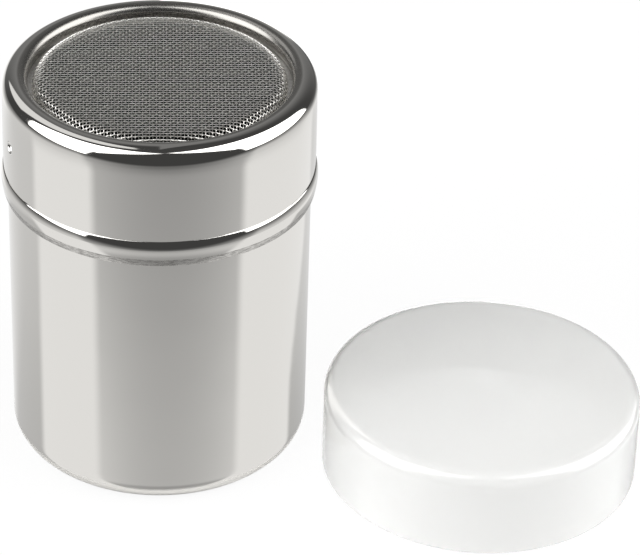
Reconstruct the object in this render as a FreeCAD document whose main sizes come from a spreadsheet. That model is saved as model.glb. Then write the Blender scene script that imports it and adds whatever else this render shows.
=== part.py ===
import FreeCAD, Part
import math
import os
import Sketcher

# A hand-held steel sieve shaker: a drawn can, a bayonet lid with a wire-cloth sieve, and a plastic
# storage cap standing beside it. Lengths are in millimetres and angles in degrees. The can stands on
# the plane z = 0 with its axis on z, and the cap stands to its right.

# Driving dimensions
SIZES = {
    # Overall
    "shaker_height": 93.0,
    # Lid shell: one drawn sheet from the sieve opening over the rim to the hem
    "lid_radius": 34.5,
    "lid_wall": 0.5,
    "lid_height": 28.45,
    "rim_outer_bend": 3.7,
    "rim_inner_bend": 2.8,
    "rim_lip": 0.6,
    "hem_proud": 0.55,
    "hem_height": 6.15,
    "hem_flare_height": 2.1,
    "hem_fold": 0.25,
    # Bayonet lugs: round dimples pressed into the skirt
    "lug_drop": 12.75,
    "lug_azimuth": 199.7,
    "lug_ball_radius": 1.95,
    "lug_reach": 1.0,
    # Can
    "can_wall": 0.5,
    "base_corner": 5.5,
    "lid_clearance": 0.4,
    "mouth_gap": 0.3,
    # Bayonet channels: pressed into the can wall, open at its mouth
    "channel_clearance": 0.3,
    "channel_turn": 25.0,
    # Sieve cloth and the ring that clamps its border
    "cloth_thickness": 0.45,
    "cloth_drop": 1.0,
    "cloth_bend": 1.9,
    "cloth_border": 4.6,
    "net_pitch": 2.7,
    "net_bar": 0.6,
    "ring_wall": 0.8,
    "ring_bend": 1.2,
    "seat_gap": 0.1,
    # Storage cap
    "cap_fit": 0.3,
    "cap_wall": 1.1,
    "cap_height": 22.3,
    "cap_corner": 3.3,
    "dome_radius": 355.0,
    "cap_gap": 3.75,
    "cap_bearing": -12.1,
    # Overrun of every cut
    "overrun": 2.0,
}


def cell(name):
    """The expression that reads one driving dimension."""
    return "sizes." + name


def minus(first, *others):
    """The expression of a difference."""
    return "(" + " - ".join((first,) + others) + ")"


def plus(*terms):
    """The expression of a sum."""
    return "(" + " + ".join(terms) + ")"


# Lid shell, derived
LID_RADIUS = cell("lid_radius")
LID_BORE = minus(LID_RADIUS, cell("lid_wall"))
LID_TOP = cell("shaker_height")
LID_FOOT = minus(LID_TOP, cell("lid_height"))
CREST_RADIUS = minus(LID_RADIUS, cell("rim_outer_bend"))
OPENING_RADIUS = minus(CREST_RADIUS, cell("rim_inner_bend"))
OUTER_BEND_Z = minus(LID_TOP, cell("rim_outer_bend"))
INNER_BEND_Z = minus(LID_TOP, cell("rim_inner_bend"))
LIP_Z = minus(INNER_BEND_Z, cell("rim_lip"))

# Hem, derived: the belly's upper arc ends on the skirt, and its lower arc runs smoothly into the fold
HEM_RADIUS = plus(LID_RADIUS, cell("hem_proud"))
HEM_TOP_Z = plus(LID_FOOT, cell("hem_height"))
BELLY_Z = minus(HEM_TOP_Z, cell("hem_flare_height"))
FLARE_RADIUS = f"(({cell('hem_proud')} ^ 2 + {cell('hem_flare_height')} ^ 2) / (2 * {cell('hem_proud')}))"
FOLD_X = plus(LID_BORE, cell("hem_fold"))
FOLD_Z = plus(LID_FOOT, cell("hem_fold"))
FOLD_INSET = minus(HEM_RADIUS, FOLD_X)
FOLD_DROP = minus(BELLY_Z, FOLD_Z)
FOLD_MARGIN = minus(FOLD_INSET, cell("hem_fold"))
BELLY_RADIUS = f"(({FOLD_INSET} ^ 2 + {FOLD_DROP} ^ 2 - {cell('hem_fold')} ^ 2) / (2 * {FOLD_MARGIN}))"
BELLY_X = minus(HEM_RADIUS, BELLY_RADIUS)
BELLY_REACH = f"({BELLY_RADIUS} / ({BELLY_RADIUS} - {cell('hem_fold')}))"
HEM_JOIN_X = f"({BELLY_X} + {BELLY_REACH} * ({FOLD_X} - {BELLY_X}))"
HEM_JOIN_Z = f"({BELLY_Z} - {BELLY_REACH} * {FOLD_DROP})"

# Sieve cloth and ring, derived
CLOTH_TOP_Z = minus(LID_TOP, cell("cloth_drop"))
CLOTH_UNDER_Z = minus(CLOTH_TOP_Z, cell("cloth_thickness"))
CLOTH_RADIUS = minus(OPENING_RADIUS, cell("seat_gap"))
CLOTH_FLAT_RADIUS = minus(CLOTH_RADIUS, cell("cloth_bend"))
CLOTH_BEND_Z = minus(CLOTH_TOP_Z, cell("cloth_bend"))
CLOTH_BORE = minus(CLOTH_RADIUS, cell("cloth_thickness"))
BORDER_TOP_Z = minus(LIP_Z, cell("seat_gap"))
BORDER_UNDER_Z = minus(BORDER_TOP_Z, cell("cloth_thickness"))
BORDER_RADIUS = plus(CLOTH_RADIUS, cell("cloth_border"))
RING_TOP_Z = minus(BORDER_UNDER_Z, cell("seat_gap"))
RING_UNDER_Z = minus(RING_TOP_Z, cell("ring_wall"))
RING_RADIUS = minus(LID_BORE, cell("seat_gap"))
SLEEVE_RADIUS = minus(CLOTH_BORE, cell("seat_gap"))
SLEEVE_BORE = minus(SLEEVE_RADIUS, cell("ring_wall"))
RING_BEND_RADIUS = plus(SLEEVE_BORE, cell("ring_bend"))
RING_BEND_Z = plus(RING_UNDER_Z, cell("ring_bend"))

# Can and bayonet, derived
CAN_RADIUS = minus(LID_BORE, cell("lid_clearance"))
CAN_BORE = minus(CAN_RADIUS, cell("can_wall"))
MOUTH_Z = minus(RING_UNDER_Z, cell("mouth_gap"))
BASE_RADIUS = minus(CAN_RADIUS, cell("base_corner"))
LUG_Z = minus(LID_TOP, cell("lug_drop"))
LUG_TIP_RADIUS = minus(LID_BORE, cell("lug_reach"))
LUG_CENTRE_RADIUS = plus(LUG_TIP_RADIUS, cell("lug_ball_radius"))
LUG_BITE = minus(cell("lug_reach"), cell("lid_clearance"))
LUG_HALF_WIDTH = f"sqrt(2 * {cell('lug_ball_radius')} * {LUG_BITE} - {LUG_BITE} ^ 2)"
CHANNEL_HALF_WIDTH = plus(LUG_HALF_WIDTH, cell("channel_clearance"))
CHANNEL_RADIUS = minus(LUG_TIP_RADIUS, cell("channel_clearance"))

# Storage cap, derived: the dome's arc runs smoothly into the corner's arc
CAP_RADIUS = plus(LID_RADIUS, cell("cap_fit"), cell("cap_wall"))
CAP_BORE = minus(CAP_RADIUS, cell("cap_wall"))
CORNER_X = minus(CAP_RADIUS, cell("cap_corner"))
DOME_Z = minus(cell("cap_height"), cell("dome_radius"))
ARC_OFFSET = minus(cell("dome_radius"), cell("cap_corner"))
CORNER_RISE = f"sqrt({ARC_OFFSET} ^ 2 - {CORNER_X} ^ 2)"
CORNER_Z = plus(DOME_Z, CORNER_RISE)
INNER_DOME = minus(cell("dome_radius"), cell("cap_wall"))
INNER_CORNER = minus(cell("cap_corner"), cell("cap_wall"))
JOIN_X = f"({CORNER_X} * {cell('dome_radius')} / {ARC_OFFSET})"
JOIN_Z = f"({DOME_Z} + {CORNER_RISE} * {cell('dome_radius')} / {ARC_OFFSET})"
INNER_JOIN_X = f"({CORNER_X} * {INNER_DOME} / {ARC_OFFSET})"
INNER_JOIN_Z = f"({DOME_Z} + {CORNER_RISE} * {INNER_DOME} / {ARC_OFFSET})"
CAP_DISTANCE = plus(HEM_RADIUS, cell("cap_gap"), CAP_RADIUS)


doc = FreeCAD.newDocument("sieve_shaker")
sizes = doc.addObject("Spreadsheet::Sheet", "sizes")
for row, (alias, number) in enumerate(SIZES.items(), start=1):
    sizes.set(f"A{row}", alias)
    sizes.set(f"B{row}", str(number))
    sizes.setAlias(f"B{row}", alias)
doc.recompute()


def value(expression):
    """The number that an expression gives at the present sizes."""
    return float(sizes.evalExpression(expression))


def bind(feature, **properties):
    """Binds each named property of a feature to its expression."""
    for name, expression in properties.items():
        feature.setExpression(name.replace("__", "."), expression)


def origin_plane(body, role):
    """One of a body's own origin planes or axes."""
    return next(item for item in body.Origin.OriginFeatures if item.Role == role)


def hold(sketch, element, end, point):
    """Dimensions one end of a sketch element from the sketch's origin."""
    for kind, axis, expression in (("DistanceX", -2, point[0]), ("DistanceY", -1, point[1])):
        if expression == "0":
            sketch.addConstraint(Sketcher.Constraint("PointOnObject", element, end, axis))
            continue
        size = value(expression)
        index = sketch.addConstraint(Sketcher.Constraint(kind, -1, 1, element, end, size))
        sketch.setExpression(f"Constraints[{index}]", expression)


def draw_outline(sketch, outline):
    """Draws a closed outline of lines and arcs, each point held by its own two dimensions.

    Each entry of outline is (x, z) for a line to the next entry, or
    (x, z, radius, centre x, centre z, turn) for an arc to the next entry, where turn is
    "left" for an anticlockwise arc and "right" for a clockwise one.
    """
    ends = []
    for index, entry in enumerate(outline):
        following = outline[(index + 1) % len(outline)]
        start = FreeCAD.Vector(value(entry[0]), value(entry[1]), 0)
        finish = FreeCAD.Vector(value(following[0]), value(following[1]), 0)
        if len(entry) == 2:
            element = sketch.addGeometry(Part.LineSegment(start, finish))
            ends.append((element, 1, 2))
            continue
        radius, centre_x, centre_z, turn = entry[2:]
        centre = FreeCAD.Vector(value(centre_x), value(centre_z), 0)
        circle = Part.Circle(centre, FreeCAD.Vector(0, 0, 1), value(radius))
        low, high = (start, finish) if turn == "left" else (finish, start)
        low_angle = math.atan2(low.y - centre.y, low.x - centre.x)
        high_angle = math.atan2(high.y - centre.y, high.x - centre.x)
        if high_angle < low_angle:
            high_angle += 2 * math.pi
        element = sketch.addGeometry(Part.ArcOfCircle(circle, low_angle, high_angle))
        ends.append((element, 1, 2) if turn == "left" else (element, 2, 1))
        size = sketch.addConstraint(Sketcher.Constraint("Radius", element, value(radius)))
        sketch.setExpression(f"Constraints[{size}]", radius)
    for index, (element, start_end, finish_end) in enumerate(ends):
        before, _, before_end = ends[index - 1]
        sketch.addConstraint(Sketcher.Constraint("Coincident", before, before_end, element, start_end))
        hold(sketch, element, start_end, outline[index])


def turned_body(name, outline):
    """A body made by turning a closed outline of radius and height a full turn about z."""
    body = doc.addObject("PartDesign::Body", name)
    sketch = body.newObject("Sketcher::SketchObject", name + "_outline")
    sketch.AttachmentSupport = (origin_plane(body, "XZ_Plane"), [""])
    sketch.MapMode = "FlatFace"
    draw_outline(sketch, outline)
    turning = body.newObject("PartDesign::Revolution", name + "_turning")
    turning.Profile = sketch
    turning.ReferenceAxis = (sketch, ["V_Axis"])
    turning.Angle = 360
    return body


def round_bar(name, radius, length):
    """A cylinder that stands on the plane z = 0."""
    bar = doc.addObject("Part::Cylinder", name)
    bind(bar, Radius=radius, Height=length)
    return bar


def joined(name, *shapes):
    """Several shapes fused into one."""
    union = doc.addObject("Part::MultiFuse", name)
    union.Shapes = list(shapes)
    return union


def less(name, base, tool):
    """One shape with another taken out of it."""
    remainder = doc.addObject("Part::Cut", name)
    remainder.Base = base
    remainder.Tool = tool
    return remainder


def shared(name, base, tool):
    """What two shapes have in common."""
    overlap = doc.addObject("Part::Common", name)
    overlap.Base = base
    overlap.Tool = tool
    return overlap


def placed(feature, x="0", z="0", yaw="0", pitch="0"):
    """Binds a feature's place on the z-x plane and its turn about y and then z."""
    bind(feature, Placement=f"placement(vector({x}; 0; {z}); rotation({yaw}; {pitch}; 0))")
    return feature


def lug_azimuths():
    """Each lug's name and the expression of its azimuth: the two lugs stand opposite each other."""
    first = cell("lug_azimuth")
    return (("first", first), ("second", f"({first} - 180)"))


# Can body

def bayonet_shape(name, half_width, floor_radius, outer_radius, azimuth):
    """An L-shaped block on the can wall: down from the mouth, then round to one side.

    It lies between floor_radius and outer_radius, and its lower corners are round.
    """
    entry = doc.addObject("Part::Cylinder", name + "_entry")
    entry_angle = f"(2 * asin({half_width} / {outer_radius}))"
    bind(entry, Radius=outer_radius, Angle=entry_angle)
    bind(entry, Height=minus(plus(MOUTH_Z, cell("overrun")), LUG_Z))
    placed(entry, z=LUG_Z, yaw=f"(-0.5 * {entry_angle})")
    run = doc.addObject("Part::Cylinder", name + "_run")
    bind(run, Radius=outer_radius, Angle=cell("channel_turn"), Height=f"(2 * {half_width})")
    placed(run, z=minus(LUG_Z, half_width))
    corner = round_bar(name + "_corner", half_width, outer_radius)
    placed(corner, z=LUG_Z, pitch="90")
    finish = round_bar(name + "_end", half_width, outer_radius)
    placed(finish, z=LUG_Z, yaw=cell("channel_turn"), pitch="90")
    reach = round_bar(name + "_reach", outer_radius, cell("shaker_height"))
    block = shared(name + "_block", joined(name + "_path", entry, run, corner, finish), reach)
    core = round_bar(name + "_core", floor_radius, cell("shaker_height"))
    shape = less(name, block, core)
    return placed(shape, yaw=azimuth)


def make_can_body():
    """The drawn can with its two bayonet channels pressed in."""
    corner = cell("base_corner")
    inner_corner = minus(corner, cell("can_wall"))
    cup = turned_body("can_cup", [
        ("0", "0"),
        (BASE_RADIUS, "0", corner, BASE_RADIUS, corner, "left"),
        (CAN_RADIUS, corner),
        (CAN_RADIUS, MOUTH_Z),
        (CAN_BORE, MOUTH_Z),
        (CAN_BORE, corner, inner_corner, BASE_RADIUS, corner, "right"),
        (BASE_RADIUS, cell("can_wall")),
        ("0", cell("can_wall")),
    ])
    mid_wall = f"({CAN_RADIUS} - {cell('can_wall')} / 2)"
    back_floor = minus(CHANNEL_RADIUS, cell("can_wall"))
    back_half_width = plus(CHANNEL_HALF_WIDTH, cell("can_wall"))
    backs = []
    channels = []
    for place, azimuth in lug_azimuths():
        name = "bayonet_" + place
        backs.append(bayonet_shape(name + "_back", back_half_width, back_floor, mid_wall, azimuth))
        beyond = plus(CAN_RADIUS, cell("overrun"))
        channels.append(bayonet_shape(name, CHANNEL_HALF_WIDTH, CHANNEL_RADIUS, beyond, azimuth))
    below_mouth = round_bar("below_mouth", CAN_RADIUS, MOUTH_Z)
    backing = shared("bayonet_backing", joined("bayonet_backs", *backs), below_mouth)
    pressed = joined("can_with_backs", cup, backing)
    return less("can_body", pressed, joined("bayonet_channels", *channels))


# Lid

def make_lid_shell():
    """The lid: rim, skirt, closed bellied hem and two dimples pressed inwards as lugs."""
    outer = cell("rim_outer_bend")
    inner = cell("rim_inner_bend")
    wall = cell("lid_wall")
    drawn = turned_body("lid_drawn", [
        (LID_BORE, FOLD_Z, cell("hem_fold"), FOLD_X, FOLD_Z, "left"),
        (HEM_JOIN_X, HEM_JOIN_Z, BELLY_RADIUS, BELLY_X, BELLY_Z, "left"),
        (HEM_RADIUS, BELLY_Z, FLARE_RADIUS, minus(HEM_RADIUS, FLARE_RADIUS), BELLY_Z, "left"),
        (LID_RADIUS, HEM_TOP_Z),
        (LID_RADIUS, OUTER_BEND_Z, outer, CREST_RADIUS, OUTER_BEND_Z, "left"),
        (CREST_RADIUS, LID_TOP, inner, CREST_RADIUS, INNER_BEND_Z, "left"),
        (OPENING_RADIUS, INNER_BEND_Z),
        (OPENING_RADIUS, LIP_Z),
        (plus(OPENING_RADIUS, wall), LIP_Z),
        (plus(OPENING_RADIUS, wall), INNER_BEND_Z, minus(inner, wall), CREST_RADIUS, INNER_BEND_Z, "right"),
        (CREST_RADIUS, minus(LID_TOP, wall), minus(outer, wall), CREST_RADIUS, OUTER_BEND_Z, "right"),
        (LID_BORE, OUTER_BEND_Z),
    ])
    clip = round_bar("lug_clip", f"({LID_RADIUS} - {wall} / 2)", LID_TOP)
    bosses = []
    dimples = []
    for place, azimuth in lug_azimuths():
        side = f"({LUG_CENTRE_RADIUS} * cos({azimuth} * 1 deg))"
        depth = f"({LUG_CENTRE_RADIUS} * sin({azimuth} * 1 deg))"
        where = f"placement(vector({side}; {depth}; {LUG_Z}); rotation(0; 0; 0))"
        boss = doc.addObject("Part::Sphere", "lug_boss_" + place)
        bind(boss, Radius=cell("lug_ball_radius"), Placement=where)
        dimple = doc.addObject("Part::Sphere", "lug_dimple_" + place)
        bind(dimple, Radius=minus(cell("lug_ball_radius"), wall), Placement=where)
        bosses.append(boss)
        dimples.append(dimple)
    lugs = shared("lugs", joined("lug_bosses", *bosses), clip)
    return less("lid_shell", joined("lid_with_lugs", drawn, lugs), joined("lug_dimples", *dimples))


def make_sieve_cloth():
    """The wire cloth: one holed face across its flat top, and a bent edge with a clamped border.

    The flat is drawn as a square net of a coarser pitch than the real cloth, one gap for each
    square of the grid that lies whole within the flat. The net and the edge meet at the flat's
    radius, so they are sewn there into one skin, without the round face that both have.
    """
    bend = cell("cloth_bend")
    thickness = cell("cloth_thickness")
    edge = turned_body("cloth_edge", [
        (CLOTH_FLAT_RADIUS, CLOTH_UNDER_Z),
        (CLOTH_FLAT_RADIUS, CLOTH_TOP_Z, bend, CLOTH_FLAT_RADIUS, CLOTH_BEND_Z, "right"),
        (CLOTH_RADIUS, CLOTH_BEND_Z),
        (CLOTH_RADIUS, BORDER_TOP_Z),
        (BORDER_RADIUS, BORDER_TOP_Z),
        (BORDER_RADIUS, BORDER_UNDER_Z),
        (CLOTH_BORE, BORDER_UNDER_Z),
        (CLOTH_BORE, CLOTH_BEND_Z, minus(bend, thickness), CLOTH_FLAT_RADIUS, CLOTH_BEND_Z, "left"),
    ])
    flat_radius = value(CLOTH_FLAT_RADIUS)
    pitch = value(cell("net_pitch"))
    half_gap = (pitch - value(cell("net_bar"))) / 2
    reach = flat_radius - value(cell("net_bar"))
    steps = int(reach / pitch) + 1
    level = value(CLOTH_UNDER_Z)
    wires = [Part.Wire(Part.makeCircle(flat_radius, FreeCAD.Vector(0, 0, level)))]
    for row in range(-steps, steps + 1):
        for column in range(-steps, steps + 1):
            x = column * pitch
            y = row * pitch
            if math.hypot(abs(x) + half_gap, abs(y) + half_gap) > reach:
                continue
            corners = [
                FreeCAD.Vector(x + side * half_gap, y + depth * half_gap, level)
                for side, depth in ((-1, -1), (-1, 1), (1, 1), (1, -1), (-1, -1))
            ]
            wires.append(Part.makePolygon(corners))
    print("gaps in the sieve cloth:", len(wires) - 1)
    net = Part.Face(wires, "Part::FaceMakerBullseye").extrude(FreeCAD.Vector(0, 0, value(thickness)))
    doc.recompute()
    round_faces = [face for face in edge.Shape.Faces if isinstance(face.Surface, Part.Cylinder)]
    meeting = min(round_faces, key=lambda face: face.Surface.Radius)
    faces = [face for face in edge.Shape.Faces if not face.isSame(meeting)]
    faces += [face for face in net.Faces if isinstance(face.Surface, Part.Plane)]
    skin = Part.Compound(faces)
    skin.sewShape()
    cloth = doc.addObject("Part::Feature", "sieve_cloth")
    cloth.Shape = Part.Solid(skin)
    return cloth


def make_sieve_ring():
    """The pressed ring whose web lies under the cloth's border and whose sleeve stands in its bend."""
    wall = cell("ring_wall")
    bend = cell("ring_bend")
    return turned_body("sieve_ring", [
        (RING_BEND_RADIUS, RING_UNDER_Z),
        (RING_RADIUS, RING_UNDER_Z),
        (RING_RADIUS, RING_TOP_Z),
        (RING_BEND_RADIUS, RING_TOP_Z, minus(bend, wall), RING_BEND_RADIUS, RING_BEND_Z, "right"),
        (SLEEVE_RADIUS, RING_BEND_Z),
        (SLEEVE_RADIUS, CLOTH_BEND_Z),
        (SLEEVE_BORE, CLOTH_BEND_Z),
        (SLEEVE_BORE, RING_BEND_Z, bend, RING_BEND_RADIUS, RING_BEND_Z, "left"),
    ])


# Storage cap

def make_storage_cap():
    """The moulded cap, open side down, with a slightly domed top of even wall."""
    corner = cell("cap_corner")
    dome = cell("dome_radius")
    cap = turned_body("storage_cap", [
        (CAP_BORE, "0"),
        (CAP_RADIUS, "0"),
        (CAP_RADIUS, CORNER_Z, corner, CORNER_X, CORNER_Z, "left"),
        (JOIN_X, JOIN_Z, dome, "0", DOME_Z, "left"),
        ("0", cell("cap_height")),
        ("0", minus(cell("cap_height"), cell("cap_wall")), INNER_DOME, "0", DOME_Z, "right"),
        (INNER_JOIN_X, INNER_JOIN_Z, INNER_CORNER, CORNER_X, CORNER_Z, "right"),
        (CAP_BORE, CORNER_Z),
    ])
    bearing = f"{cell('cap_bearing')} * 1 deg"
    side = f"({CAP_DISTANCE} * cos({bearing}))"
    depth = f"({CAP_DISTANCE} * sin({bearing}))"
    bind(cap, Placement=f"placement(vector({side}; {depth}; 0); rotation(0; 0; 0))")
    return cap


def check_document():
    """Stops at any feature that failed."""
    for item in doc.Objects:
        faults = [state for state in item.State if state in ("Invalid", "Error")]
        if faults:
            raise RuntimeError(f"{item.Name} failed: {faults}")


def export_parts(parts):
    """Checks every sub-part and writes its solid to its own file."""
    os.makedirs("parts", exist_ok=True)
    for name, part in parts.items():
        part.Label = name
        shape = part.Shape
        if shape.isNull() or not shape.isValid() or len(shape.Solids) != 1:
            raise RuntimeError(f"{name} is not one valid solid")
        print(f"{name}: {shape.Volume:.1f} cubic mm, {len(shape.Faces)} faces")
    for name, part in parts.items():
        part.Shape.exportStep(f"parts/{name}.step")


parts = {
    "can_body": make_can_body(),
    "lid_shell": make_lid_shell(),
    "sieve_cloth": make_sieve_cloth(),
    "sieve_ring": make_sieve_ring(),
    "storage_cap": make_storage_cap(),
}
doc.recompute()
check_document()
export_parts(parts)
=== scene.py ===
"""Looks of a hand-held sieve shaker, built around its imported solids.

The can and its lid are drawn from stainless sheet and mirror-polished, the sieve is woven from
stainless wire, and the storage cap is moulded from natural polypropylene. Sizes are in
millimetres and become metres where a mesh is made. The can stands on z = 0 with its axis on z.
"""

import logging
import math
from dataclasses import dataclass
from enum import Enum
from typing import Any, Callable, Optional, Sequence

import bpy
import numpy as np
from mathutils import Matrix, Vector

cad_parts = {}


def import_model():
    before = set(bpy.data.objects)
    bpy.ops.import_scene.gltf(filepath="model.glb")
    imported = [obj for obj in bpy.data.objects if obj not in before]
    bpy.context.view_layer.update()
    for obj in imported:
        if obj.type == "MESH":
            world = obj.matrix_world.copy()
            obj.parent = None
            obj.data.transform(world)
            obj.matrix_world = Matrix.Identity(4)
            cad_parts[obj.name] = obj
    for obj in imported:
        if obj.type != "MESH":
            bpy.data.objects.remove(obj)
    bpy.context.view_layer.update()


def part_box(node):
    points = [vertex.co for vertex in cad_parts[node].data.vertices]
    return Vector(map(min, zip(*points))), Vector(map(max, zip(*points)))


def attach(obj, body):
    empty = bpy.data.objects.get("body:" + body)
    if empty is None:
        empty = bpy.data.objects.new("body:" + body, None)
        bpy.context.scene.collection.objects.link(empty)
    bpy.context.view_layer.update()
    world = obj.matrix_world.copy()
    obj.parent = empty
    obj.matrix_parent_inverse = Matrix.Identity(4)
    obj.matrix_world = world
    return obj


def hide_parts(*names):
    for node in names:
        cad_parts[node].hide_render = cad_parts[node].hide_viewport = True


LOG = logging.getLogger("sieve_shaker")
MM = 0.001
SHARP_ANGLE = math.radians(38)
# the can's inside colour: a dark grey that is painted shade of the closed can's inside
INSIDE_SHADE_GREY = "#2d2b28"

Shift = Callable[[np.ndarray, np.ndarray, np.ndarray], np.ndarray]


class Body(str, Enum):
    """The bodies that move on their own."""

    CAN = "can"
    LID = "lid"
    CAP = "cap"


class Slot(str, Enum):
    """The record's material slots."""

    POLISHED = "polished_steel"
    CLOTH = "wire_cloth"
    PRESSED = "pressed_steel"
    PLASTIC = "cap_plastic"


# Surfaces


@dataclass(frozen=True)
class Corner:
    """One corner of an outline: its radius and height, and the radius of the bend that rounds it."""

    radius: float
    height: float
    bend: float = 0.0


@dataclass(frozen=True)
class Spacing:
    """How finely an outline is divided: the longest straight step, the turn of one step of a
    bend in degrees, and a band of heights with a finer straight step. Steps stay short on a
    straight too, because a long face beside a bend would bend what the steel mirrors."""

    straight: float = 1.2
    turn: float = 5.0
    band_low: float = 0.0
    band_high: float = 0.0
    band_step: float = 0.3


def outline_points(corners: Sequence[Corner], spacing: Spacing = Spacing()) -> np.ndarray:
    """Rounds and divides a closed outline of radius and height.

    A corner whose sides turn by an angle t is replaced by an arc of its bend radius b that
    touches both sides at b tan(t / 2) from the corner. An arc's points are the start point
    turned about the arc's centre in even steps.

    Args:
        corners: the corners in order round the outline.
        spacing: how finely straights and bends are divided.

    Returns:
        The points, one row of radius and height each.
    """
    places = np.array([(corner.radius, corner.height) for corner in corners])
    runs = []
    for index, corner in enumerate(corners):
        place = places[index]
        before = places[index - 1] - place
        after = places[(index + 1) % len(corners)] - place
        before = before / np.linalg.norm(before)
        after = after / np.linalg.norm(after)
        turn = math.pi - math.acos(float(np.clip(before @ after, -1, 1)))
        if corner.bend <= 0 or turn < 1e-6:
            runs.append(place[None])
            continue
        start = place + before * corner.bend * math.tan(turn / 2)
        inward = (before + after) / np.linalg.norm(before + after)
        centre = place + inward * corner.bend / math.cos(turn / 2)
        steps = max(3, math.ceil(math.degrees(turn) / spacing.turn))
        side = 1.0 if before[0] * after[1] - before[1] * after[0] < 0 else -1.0
        angles = np.linspace(0, turn * side, steps + 1)[:, None]
        arm = start - centre
        normal = np.array([-arm[1], arm[0]])
        runs.append(centre + np.cos(angles) * arm + np.sin(angles) * normal)
    points = np.concatenate(runs)
    following = np.roll(points, -1, axis=0)
    divided = []
    for first, last in zip(points, following):
        run = last - first
        length = float(np.linalg.norm(run))
        if length < 1e-6:
            continue
        cuts = [0.0, 1.0]
        if abs(run[1]) > 1e-6:
            crossings = [(height - first[1]) / run[1] for height in (spacing.band_low, spacing.band_high)]
            cuts += [share for share in crossings if 1e-6 < share < 1 - 1e-6]
        cuts.sort()
        for start, end in zip(cuts, cuts[1:]):
            in_band = spacing.band_low < first[1] + run[1] * (start + end) / 2 < spacing.band_high
            step = spacing.band_step if in_band else spacing.straight
            count = max(1, math.ceil(length * (end - start) / step))
            shares = start + (end - start) * np.arange(count)[:, None] / count
            divided.append(first + run * shares)
    return np.concatenate(divided)


def arc_corners(
    centre: tuple[float, float], radius: float, start: float, end: float, steps: int
) -> list[Corner]:
    """Plain corners along an arc of an outline.

    They are centre + radius (cos a, sin a), with a in even steps from start to end, in degrees.
    """
    angles = np.radians(np.linspace(start, end, steps + 1))
    radii = centre[0] + radius * np.cos(angles)
    heights = centre[1] + radius * np.sin(angles)
    return [Corner(float(r), float(z)) for r, z in zip(radii, heights)]


def turn_azimuths(
    step: float = 1.25, windows: Sequence[tuple[float, float]] = (), fine: float = 0.3
) -> np.ndarray:
    """Azimuths in degrees round a full turn, closer together inside each window.

    Args:
        step: the even step outside the windows.
        windows: start and end azimuth of each window.
        fine: the step inside the windows.

    Returns:
        The azimuths in rising order, without repeats.
    """
    azimuths = np.arange(0.0, 360.0, step)
    for start, end in windows:
        outside = ((azimuths - start) % 360.0) > (end - start)
        inside = (start + np.arange(0.0, end - start, fine)) % 360.0
        azimuths = np.concatenate([azimuths[outside], inside])
    return np.unique(np.round(azimuths, 5))


def grid_quads(rows: int, columns: int, wrap_rows: bool, wrap_columns: bool) -> np.ndarray:
    """The corner numbers of the quads of a grid of points, numbered row by row.

    Args:
        rows: number of rows.
        columns: number of columns.
        wrap_rows: whether the last row joins the first.
        wrap_columns: whether the last column joins the first.

    Returns:
        One row of four corner numbers for each quad.
    """
    row = np.arange(rows if wrap_rows else rows - 1)[:, None]
    column = np.arange(columns if wrap_columns else columns - 1)[None, :]
    next_row = (row + 1) % rows
    next_column = (column + 1) % columns
    corners = (
        row * columns + column,
        row * columns + next_column,
        next_row * columns + next_column,
        next_row * columns + column,
    )
    return np.stack(np.broadcast_arrays(*corners), axis=-1).reshape(-1, 4)


def signed_volume(vertices: np.ndarray, quads: np.ndarray) -> float:
    """The volume inside a closed surface: the sum, over the two triangles of each quad, of the
    triple product of the corners divided by six. It is negative where the faces point inwards."""
    first, second, third, fourth = (vertices[quads[:, index]] for index in range(4))
    triple = np.einsum("ij,ij->i", first, np.cross(second, third) + np.cross(third, fourth))
    return float(triple.sum() / 6)


def make_piece(name: str, vertices: np.ndarray, quads: np.ndarray) -> bpy.types.Object:
    """Makes an object of a closed surface, its faces outwards and its place in its mesh.

    Points that coincide, at a pole or an end, become one vertex, and quads that this flattens
    become triangles.

    Args:
        name: the object's name.
        vertices: the points in millimetres.
        quads: four corner numbers for each face.

    Returns:
        The object, linked to the scene.
    """
    if signed_volume(vertices, quads) < 0:
        quads = quads[:, ::-1]
    _, kept, number = np.unique(np.round(vertices, 5), axis=0, return_index=True, return_inverse=True)
    quads = number.reshape(-1)[quads]
    welded = vertices[kept]
    whole = np.ones(len(quads), bool)
    triangles = []
    for index in range(4):
        repeated = quads[:, index] == quads[:, (index + 1) % 4]
        triangles.append(np.delete(quads[repeated], index, axis=1))
        whole &= ~repeated
    loose = np.concatenate(triangles)
    whole_triangle = (
        (loose[:, 0] != loose[:, 1]) & (loose[:, 1] != loose[:, 2]) & (loose[:, 2] != loose[:, 0])
    )
    loose = loose[whole_triangle]
    mesh = bpy.data.meshes.new(name)
    mesh.from_pydata((welded * MM).tolist(), [], quads[whole].tolist() + loose.tolist())
    mesh.shade_smooth()
    mesh.set_sharp_from_angle(angle=SHARP_ANGLE)
    mesh.validate()
    piece = bpy.data.objects.new(name, mesh)
    bpy.context.scene.collection.objects.link(piece)
    return piece


def turned_piece(
    name: str,
    outline: np.ndarray,
    azimuths: np.ndarray,
    centre: tuple[float, float] = (0.0, 0.0),
    shift: Optional[Shift] = None,
) -> bpy.types.Object:
    """Turns a closed outline a full turn about an upright axis.

    The point at outline row i and azimuth a is (cx + r cos a, cy + r sin a, z_i), where r is
    the outline's radius less the inward shift at that radius, height and azimuth.

    Args:
        name: the object's name.
        outline: rows of radius and height.
        azimuths: azimuths in degrees.
        centre: where the axis stands.
        shift: gives the inward shift for arrays of radius, height and azimuth.

    Returns:
        The object.
    """
    radius, height, azimuth = np.broadcast_arrays(outline[:, :1], outline[:, 1:], azimuths[None, :])
    if shift is not None:
        radius = radius - shift(radius, height, azimuth)
    angle = np.radians(azimuth)
    points = np.stack(
        [centre[0] + radius * np.cos(angle), centre[1] + radius * np.sin(angle), height], axis=-1
    )
    quads = grid_quads(*radius.shape, wrap_rows=True, wrap_columns=True)
    return make_piece(name, points.reshape(-1, 3), quads)


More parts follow.
